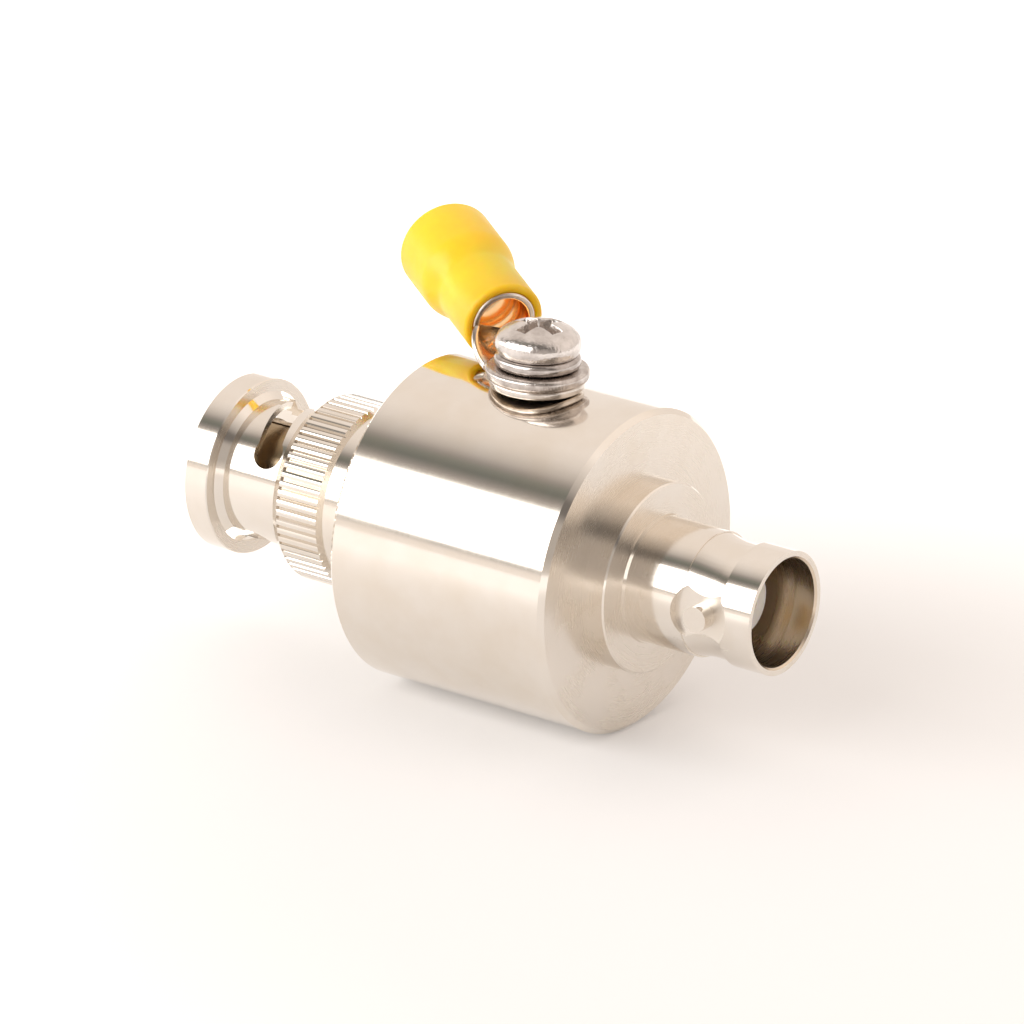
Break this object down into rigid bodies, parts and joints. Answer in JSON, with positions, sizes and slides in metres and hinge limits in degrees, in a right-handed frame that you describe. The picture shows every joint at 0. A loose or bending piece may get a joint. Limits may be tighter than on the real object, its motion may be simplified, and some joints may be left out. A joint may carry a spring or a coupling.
{
  "type": "coaxial lightning arrestor",
  "caption": "Inline coaxial lightning arrestor with a bayonet jack, a bayonet plug with a coupling nut, and a ground screw that clamps a yellow sleeved ring terminal.",
  "frame": {"origin": "centre of the jack's mouth, in the plane of its front edge", "axes": "+X along the connector axis out of the jack, +Z along the ground screw towards its head"},
  "size_m": [0.0515, 0.0258, 0.0342],
  "materials": {
    "nickel_plate": "satin",
    "screw_steel": "satin",
    "spring_steel": "satin",
    "tinned_copper": "satin",
    "yellow_vinyl": "glossy",
    "ptfe": "matte",
    "gold_plate": "satin",
    "brass_bare": "satin",
    "ceramic": "matte",
    "rubber_seal": "matte"
  },
  "bodies": {
    "arrestor_body": {"body_housing": "nickel_plate", "jack_shell": "nickel_plate", "jack_insulator": "ptfe", "jack_socket_contact": "gold_plate", "centre_conductor": "brass_bare", "plug_insulator": "ptfe", "plug_centre_pin": "gold_plate", "gas_tube_carrier": "ptfe", "gas_tube_ceramic": "ceramic", "gas_tube_line_electrode": "nickel_plate", "gas_tube_ground_electrode": "nickel_plate", "contact_spring": "spring_steel", "plug_body": "nickel_plate", "plug_contact_sleeve": "nickel_plate", "plug_gasket": "rubber_seal", "wave_spring": "spring_steel"},
    "nut_carriage": {"thrust_washer": "spring_steel"},
    "coupling_nut_body": {"coupling_nut": "nickel_plate", "nut_retaining_ring": "spring_steel"},
    "captive_washers": {"spring_lock_washer": "screw_steel", "flat_washer": "screw_steel"},
    "screw": {"ground_screw": "screw_steel"},
    "terminal": {"ring_terminal": "tinned_copper", "terminal_sleeve": "yellow_vinyl"}
  },
  "joints": [
    {"name": "nut_pull", "type": "slide", "parent": "arrestor_body", "child": "nut_carriage", "axis": [-1, 0, 0], "range_m": [0, 0.0007], "stiffness_N_per_m": 20000, "deforming": ["wave_spring"]},
    {"name": "nut_turn", "type": "hinge", "parent": "nut_carriage", "child": "coupling_nut_body", "pos_m": [-0.03818, 0, 0], "axis": [1, 0, 0], "continuous": true},
    {"name": "washer_lift", "type": "slide", "parent": "arrestor_body", "child": "captive_washers", "axis": [0, 0, 1], "range_m": [0, 0.0021]},
    {"name": "screw_turn", "type": "hinge", "parent": "captive_washers", "child": "screw", "pos_m": [-0.0233, 0, 0.01544], "axis": [0, 0, 1], "range_deg": [0, 1080]},
    {"name": "terminal_swing", "type": "hinge", "parent": "arrestor_body", "child": "terminal", "pos_m": [-0.0233, 0, 0.01273], "axis": [0, 0, 1], "range_deg": [-112, 0]}
  ],
  "couplings": [
    {"joint": "screw_turn", "follows": "washer_lift", "rad_per_m": 8976}
  ]
}
